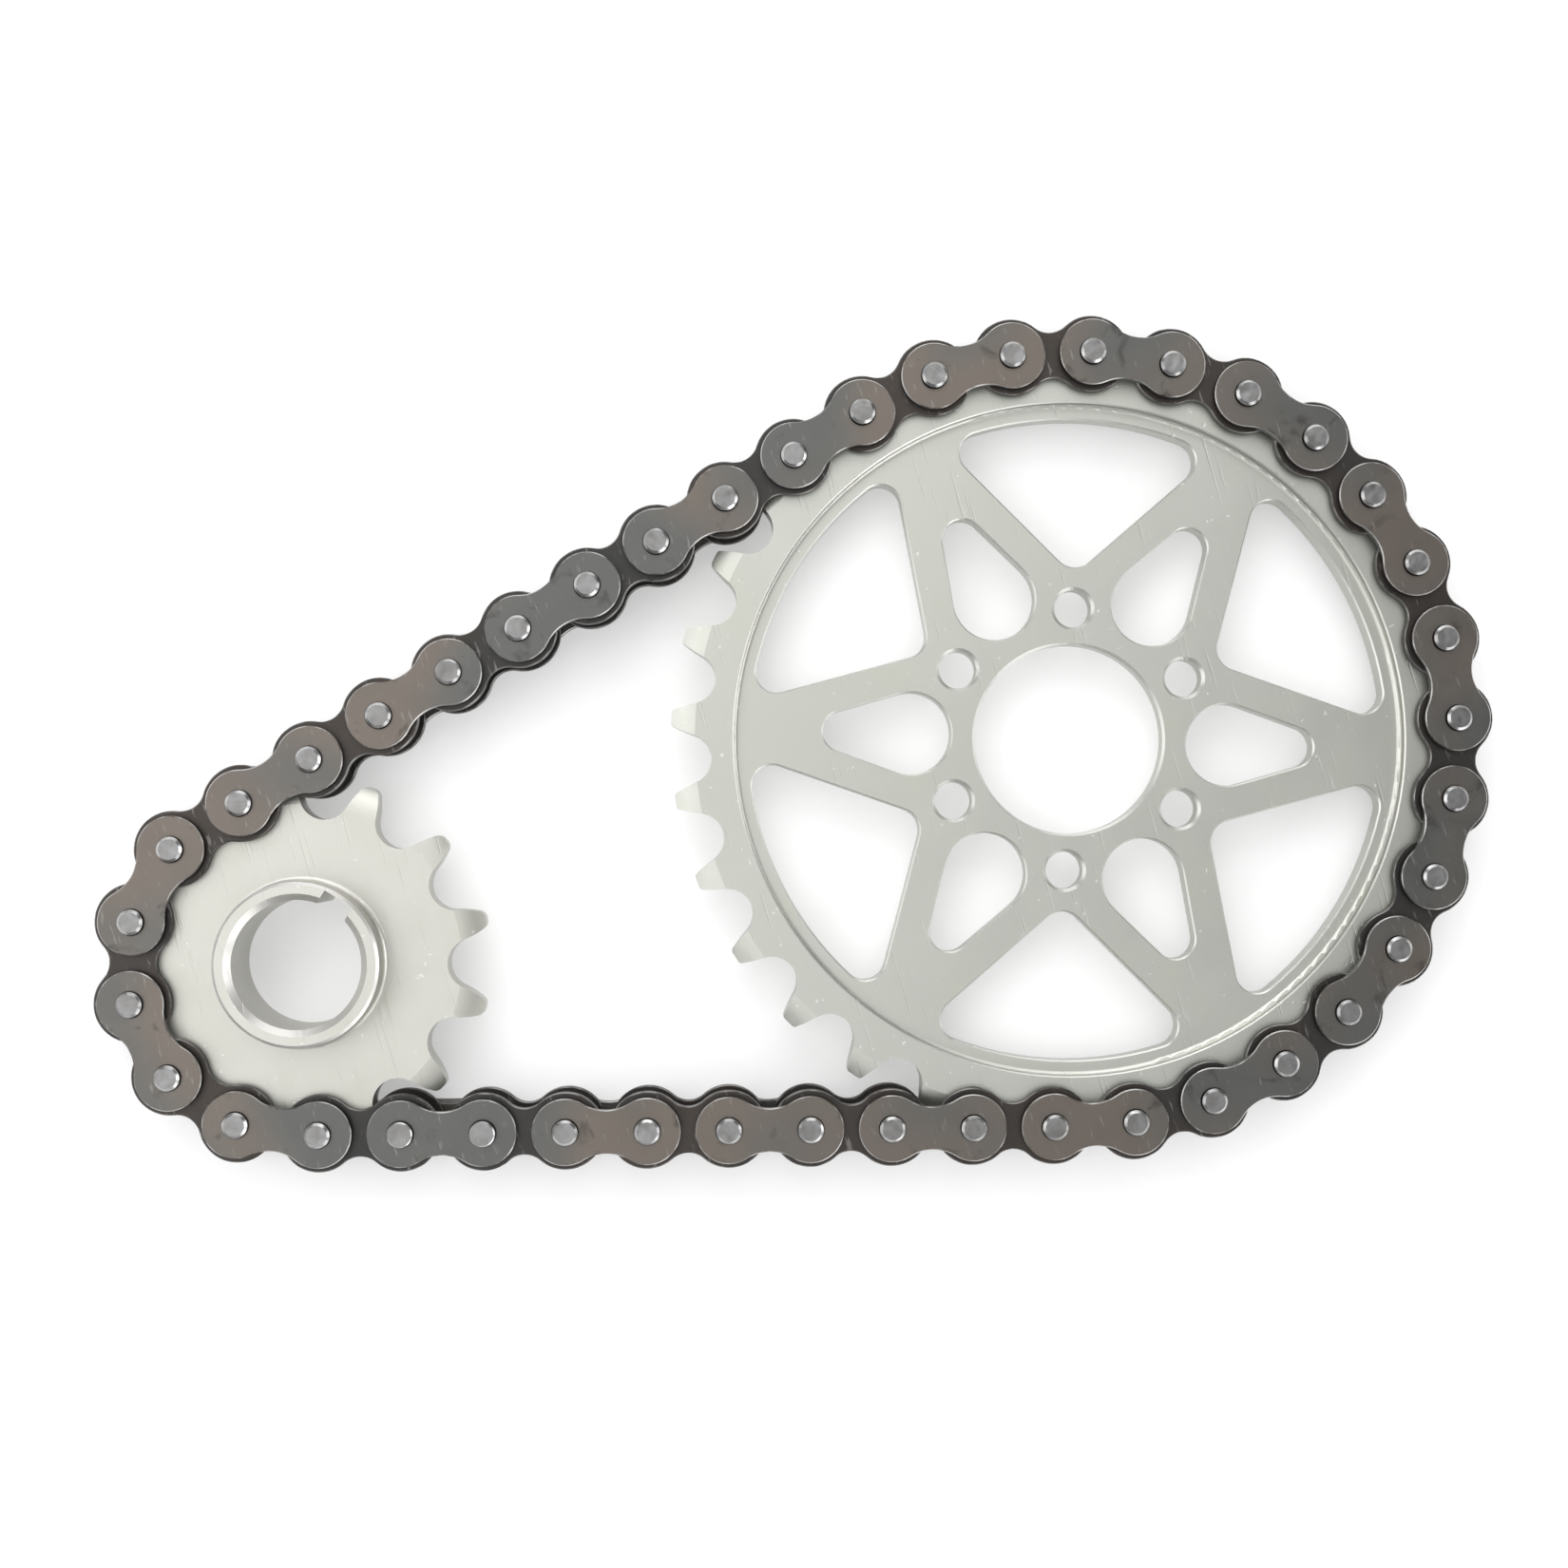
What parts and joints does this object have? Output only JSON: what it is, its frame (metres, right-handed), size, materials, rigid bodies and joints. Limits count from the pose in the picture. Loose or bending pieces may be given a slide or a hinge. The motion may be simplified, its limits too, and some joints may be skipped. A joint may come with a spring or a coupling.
{
  "type": "roller chain drive",
  "caption": "Endless roller chain lying round a small hubbed front sprocket and a large rear sprocket with windows, ready to fit to two parallel shafts.",
  "frame": {"origin": "centre of the rear sprocket's bore, halfway through the thickness of its teeth", "axes": "+Z along the sprocket axes towards the front sprocket's long hub, +X from the front sprocket to the rear sprocket, +Y to the upper chain run"},
  "size_m": [0.2247, 0.133, 0.0166],
  "materials": {
    "rear_sprocket_zinc": "zinc plated, satin",
    "front_sprocket_nickel": "plated, satin",
    "outer_plate_steel": "blackened, oiled",
    "inner_plate_steel": "blackened, oiled",
    "pin_steel": "ground and polished",
    "bush_steel": "oiled",
    "roller_steel": "ground, oiled",
    "clip_steel": "spring steel, satin"
  },
  "bodies": {
    "rear_group": {"rear_sprocket": "rear_sprocket_zinc", "rear_wrap_outer_plates": "outer_plate_steel", "rear_wrap_pins": "pin_steel", "rear_wrap_inner_plates": "inner_plate_steel", "rear_wrap_bushes": "bush_steel", "rear_wrap_rollers": "roller_steel"},
    "front_group": {"front_sprocket": "front_sprocket_nickel", "front_wrap_outer_plates": "outer_plate_steel", "front_wrap_pins": "pin_steel", "front_wrap_inner_plates": "inner_plate_steel", "front_wrap_bushes": "bush_steel", "front_wrap_rollers": "roller_steel"},
    "upper_link_1": {"upper_link_1_plates": "outer_plate_steel", "upper_link_1_pins": "pin_steel"},
    "upper_link_2_roller_a": {"upper_link_2_roller_a": "roller_steel"},
    "upper_link_2_roller_b": {"upper_link_2_roller_b": "roller_steel"},
    "upper_link_2": {"upper_link_2_frame": "inner_plate_steel"},
    "upper_link_3": {"upper_link_3_plates": "outer_plate_steel", "upper_link_3_pins": "pin_steel"},
    "upper_link_4_roller_a": {"upper_link_4_roller_a": "roller_steel"},
    "upper_link_4_roller_b": {"upper_link_4_roller_b": "roller_steel"},
    "upper_link_4": {"upper_link_4_frame": "inner_plate_steel"},
    "upper_link_5": {"upper_link_5_plates": "outer_plate_steel", "upper_link_5_pins": "pin_steel"},
    "upper_link_6_roller_a": {"upper_link_6_roller_a": "roller_steel"},
    "upper_link_6_roller_b": {"upper_link_6_roller_b": "roller_steel"},
    "upper_link_6": {"upper_link_6_frame": "inner_plate_steel"},
    "upper_link_7": {"upper_link_7_plates": "outer_plate_steel", "upper_link_7_pins": "pin_steel"},
    "upper_link_8_roller_a": {"upper_link_8_roller_a": "roller_steel"},
    "upper_link_8_roller_b": {"upper_link_8_roller_b": "roller_steel"},
    "upper_link_8": {"upper_link_8_frame": "inner_plate_steel"},
    "upper_link_9": {"upper_link_9_plates": "outer_plate_steel", "upper_link_9_pins": "pin_steel"},
    "lower_link_1_roller_b": {"lower_link_1_roller_b": "roller_steel"},
    "lower_link_1": {"lower_link_1_frame": "inner_plate_steel", "lower_link_1_roller_a": "roller_steel"},
    "connecting_link": {"connecting_link_pin_plate": "outer_plate_steel", "connecting_link_pins": "pin_steel", "connecting_link_cover_plate": "outer_plate_steel", "connecting_link_spring_clip": "clip_steel"},
    "lower_link_3_roller_a": {"lower_link_3_roller_a": "roller_steel"},
    "lower_link_3_roller_b": {"lower_link_3_roller_b": "roller_steel"},
    "lower_link_3": {"lower_link_3_frame": "inner_plate_steel"},
    "lower_link_4": {"lower_link_4_plates": "outer_plate_steel", "lower_link_4_pins": "pin_steel"},
    "lower_link_5_roller_a": {"lower_link_5_roller_a": "roller_steel"},
    "lower_link_5_roller_b": {"lower_link_5_roller_b": "roller_steel"},
    "lower_link_5": {"lower_link_5_frame": "inner_plate_steel"},
    "lower_link_6": {"lower_link_6_plates": "outer_plate_steel", "lower_link_6_pins": "pin_steel"},
    "lower_link_7_roller_a": {"lower_link_7_roller_a": "roller_steel"},
    "lower_link_7_roller_b": {"lower_link_7_roller_b": "roller_steel"},
    "lower_link_7": {"lower_link_7_frame": "inner_plate_steel"},
    "lower_link_8": {"lower_link_8_plates": "outer_plate_steel", "lower_link_8_pins": "pin_steel"},
    "lower_link_9_roller_a": {"lower_link_9_roller_a": "roller_steel"},
    "lower_link_9": {"lower_link_9_frame": "inner_plate_steel", "lower_link_9_roller_b": "roller_steel"}
  },
  "joints": [
    {"name": "drive", "type": "hinge", "parent": "rear_group", "child": "upper_link_1", "pos_m": [-0.01756, 0.05816, 0], "axis": [0, 0, 1], "range_deg": [-5, 2.5]},
    {"name": "slack_upper", "type": "hinge", "parent": "upper_link_1", "child": "upper_link_2", "pos_m": [-0.02976, 0.05463, 0], "axis": [0, 0, 1], "range_deg": [-6, 6]},
    {"name": "upper_pivot_3", "type": "hinge", "parent": "upper_link_2", "child": "upper_link_3", "pos_m": [-0.04196, 0.05111, 0], "axis": [0, 0, 1], "range_deg": [-2.01, 2.01]},
    {"name": "upper_pivot_4", "type": "hinge", "parent": "upper_link_3", "child": "upper_link_4", "pos_m": [-0.05416, 0.04759, 0], "axis": [0, 0, 1], "range_deg": [-2.01, 2.01]},
    {"name": "upper_pivot_5", "type": "hinge", "parent": "upper_link_4", "child": "upper_link_5", "pos_m": [-0.06637, 0.04407, 0], "axis": [0, 0, 1], "range_deg": [-2.01, 2.01]},
    {"name": "upper_pivot_6", "type": "hinge", "parent": "upper_link_5", "child": "upper_link_6", "pos_m": [-0.07857, 0.04055, 0], "axis": [0, 0, 1], "range_deg": [-2.01, 2.01]},
    {"name": "upper_pivot_7", "type": "hinge", "parent": "upper_link_6", "child": "upper_link_7", "pos_m": [-0.09077, 0.03703, 0], "axis": [0, 0, 1], "range_deg": [-2.01, 2.01]},
    {"name": "upper_pivot_8", "type": "hinge", "parent": "upper_link_7", "child": "upper_link_8", "pos_m": [-0.10297, 0.03351, 0], "axis": [0, 0, 1], "range_deg": [-2.01, 2.01]},
    {"name": "upper_pivot_9", "type": "hinge", "parent": "upper_link_8", "child": "upper_link_9", "pos_m": [-0.11517, 0.02999, 0], "axis": [0, 0, 1], "range_deg": [-6.01, 6.01]},
    {"name": "front_upper_pivot", "type": "hinge", "parent": "upper_link_9", "child": "front_group", "pos_m": [-0.12738, 0.02646, 0], "axis": [0, 0, 1], "range_deg": [-5.5, 10.99]},
    {"name": "front_lower_pivot", "type": "hinge", "parent": "front_group", "child": "lower_link_1", "pos_m": [-0.12993, -0.02615, 0], "axis": [0, 0, 1], "range_deg": [-11.01, 5.51]},
    {"name": "slack_lower", "type": "hinge", "parent": "lower_link_1", "child": "connecting_link", "pos_m": [-0.11772, -0.02962, 0], "axis": [0, 0, 1], "range_deg": [-6, 6]},
    {"name": "lower_pivot_3", "type": "hinge", "parent": "connecting_link", "child": "lower_link_3", "pos_m": [-0.1055, -0.03309, 0], "axis": [0, 0, 1], "range_deg": [-2.01, 2.01]},
    {"name": "lower_pivot_4", "type": "hinge", "parent": "lower_link_3", "child": "lower_link_4", "pos_m": [-0.09328, -0.03656, 0], "axis": [0, 0, 1], "range_deg": [-2.01, 2.01]},
    {"name": "rear_lower_pivot", "type": "hinge", "parent": "rear_group", "child": "lower_link_9", "pos_m": [-0.01998, -0.05737, 0], "axis": [0, 0, 1], "range_deg": [-5.04, 2.52]},
    {"name": "lower_pivot_9", "type": "hinge", "parent": "lower_link_9", "child": "lower_link_8", "pos_m": [-0.0322, -0.0539, 0], "axis": [0, 0, 1], "range_deg": [-6.01, 6.01]},
    {"name": "lower_pivot_8", "type": "hinge", "parent": "lower_link_8", "child": "lower_link_7", "pos_m": [-0.04441, -0.05043, 0], "axis": [0, 0, 1], "range_deg": [-2.01, 2.01]},
    {"name": "lower_pivot_7", "type": "hinge", "parent": "lower_link_7", "child": "lower_link_6", "pos_m": [-0.05663, -0.04696, 0], "axis": [0, 0, 1], "range_deg": [-2.01, 2.01]},
    {"name": "lower_pivot_6", "type": "hinge", "parent": "lower_link_6", "child": "lower_link_5", "pos_m": [-0.06885, -0.0435, 0], "axis": [0, 0, 1], "range_deg": [-2.01, 2.01]},
    {"name": "upper_link_2_roller_a_spin", "type": "hinge", "parent": "upper_link_2", "child": "upper_link_2_roller_a", "pos_m": [-0.02976, 0.05463, 0], "axis": [0, 0, 1], "continuous": true},
    {"name": "upper_link_2_roller_b_spin", "type": "hinge", "parent": "upper_link_2", "child": "upper_link_2_roller_b", "pos_m": [-0.04196, 0.05111, 0], "axis": [0, 0, 1], "continuous": true},
    {"name": "upper_link_4_roller_a_spin", "type": "hinge", "parent": "upper_link_4", "child": "upper_link_4_roller_a", "pos_m": [-0.05416, 0.04759, 0], "axis": [0, 0, 1], "continuous": true},
    {"name": "upper_link_4_roller_b_spin", "type": "hinge", "parent": "upper_link_4", "child": "upper_link_4_roller_b", "pos_m": [-0.06637, 0.04407, 0], "axis": [0, 0, 1], "continuous": true},
    {"name": "upper_link_6_roller_a_spin", "type": "hinge", "parent": "upper_link_6", "child": "upper_link_6_roller_a", "pos_m": [-0.07857, 0.04055, 0], "axis": [0, 0, 1], "continuous": true},
    {"name": "upper_link_6_roller_b_spin", "type": "hinge", "parent": "upper_link_6", "child": "upper_link_6_roller_b", "pos_m": [-0.09077, 0.03703, 0], "axis": [0, 0, 1], "continuous": true},
    {"name": "upper_link_8_roller_a_spin", "type": "hinge", "parent": "upper_link_8", "child": "upper_link_8_roller_a", "pos_m": [-0.10297, 0.03351, 0], "axis": [0, 0, 1], "continuous": true},
    {"name": "upper_link_8_roller_b_spin", "type": "hinge", "parent": "upper_link_8", "child": "upper_link_8_roller_b", "pos_m": [-0.11517, 0.02999, 0], "axis": [0, 0, 1], "continuous": true},
    {"name": "lower_link_1_roller_b_spin", "type": "hinge", "parent": "lower_link_1", "child": "lower_link_1_roller_b", "pos_m": [-0.11772, -0.02962, 0], "axis": [0, 0, 1], "continuous": true},
    {"name": "lower_link_3_roller_a_spin", "type": "hinge", "parent": "lower_link_3", "child": "lower_link_3_roller_a", "pos_m": [-0.1055, -0.03309, 0], "axis": [0, 0, 1], "continuous": true},
    {"name": "lower_link_3_roller_b_spin", "type": "hinge", "parent": "lower_link_3", "child": "lower_link_3_roller_b", "pos_m": [-0.09328, -0.03656, 0], "axis": [0, 0, 1], "continuous": true},
    {"name": "lower_link_5_roller_a_spin", "type": "hinge", "parent": "lower_link_5", "child": "lower_link_5_roller_a", "pos_m": [-0.08106, -0.04003, 0], "axis": [0, 0, 1], "continuous": true},
    {"name": "lower_link_5_roller_b_spin", "type": "hinge", "parent": "lower_link_5", "child": "lower_link_5_roller_b", "pos_m": [-0.06885, -0.0435, 0], "axis": [0, 0, 1], "continuous": true},
    {"name": "lower_link_7_roller_a_spin", "type": "hinge", "parent": "lower_link_7", "child": "lower_link_7_roller_a", "pos_m": [-0.05663, -0.04696, 0], "axis": [0, 0, 1], "continuous": true},
    {"name": "lower_link_7_roller_b_spin", "type": "hinge", "parent": "lower_link_7", "child": "lower_link_7_roller_b", "pos_m": [-0.04441, -0.05043, 0], "axis": [0, 0, 1], "continuous": true},
    {"name": "lower_link_9_roller_a_spin", "type": "hinge", "parent": "lower_link_9", "child": "lower_link_9_roller_a", "pos_m": [-0.0322, -0.0539, 0], "axis": [0, 0, 1], "continuous": true}
  ],
  "couplings": [
    {"joint": "upper_pivot_3", "follows": "slack_upper", "ratio": -0.33333},
    {"joint": "upper_pivot_4", "follows": "slack_upper", "ratio": -0.33333},
    {"joint": "upper_pivot_5", "follows": "slack_upper", "ratio": -0.33333},
    {"joint": "upper_pivot_6", "follows": "slack_upper", "ratio": -0.33333},
    {"joint": "upper_pivot_7", "follows": "slack_upper", "ratio": -0.33333},
    {"joint": "upper_pivot_8", "follows": "slack_upper", "ratio": -0.33333},
    {"joint": "upper_pivot_9", "follows": "slack_upper", "ratio": 1},
    {"joint": "front_upper_pivot", "follows": "drive", "ratio": -2.1955},
    {"joint": "front_lower_pivot", "follows": "drive", "ratio": 2.2006},
    {"joint": "lower_pivot_3", "follows": "slack_lower", "ratio": -0.33333},
    {"joint": "lower_pivot_4", "follows": "slack_lower", "ratio": -0.33333},
    {"joint": "rear_lower_pivot", "follows": "drive", "ratio": 1.005},
    {"joint": "lower_pivot_9", "follows": "slack_lower", "ratio": -1},
    {"joint": "lower_pivot_8", "follows": "slack_lower", "ratio": 0.33333},
    {"joint": "lower_pivot_7", "follows": "slack_lower", "ratio": 0.33333},
    {"joint": "lower_pivot_6", "follows": "slack_lower", "ratio": 0.33333}
  ]
}
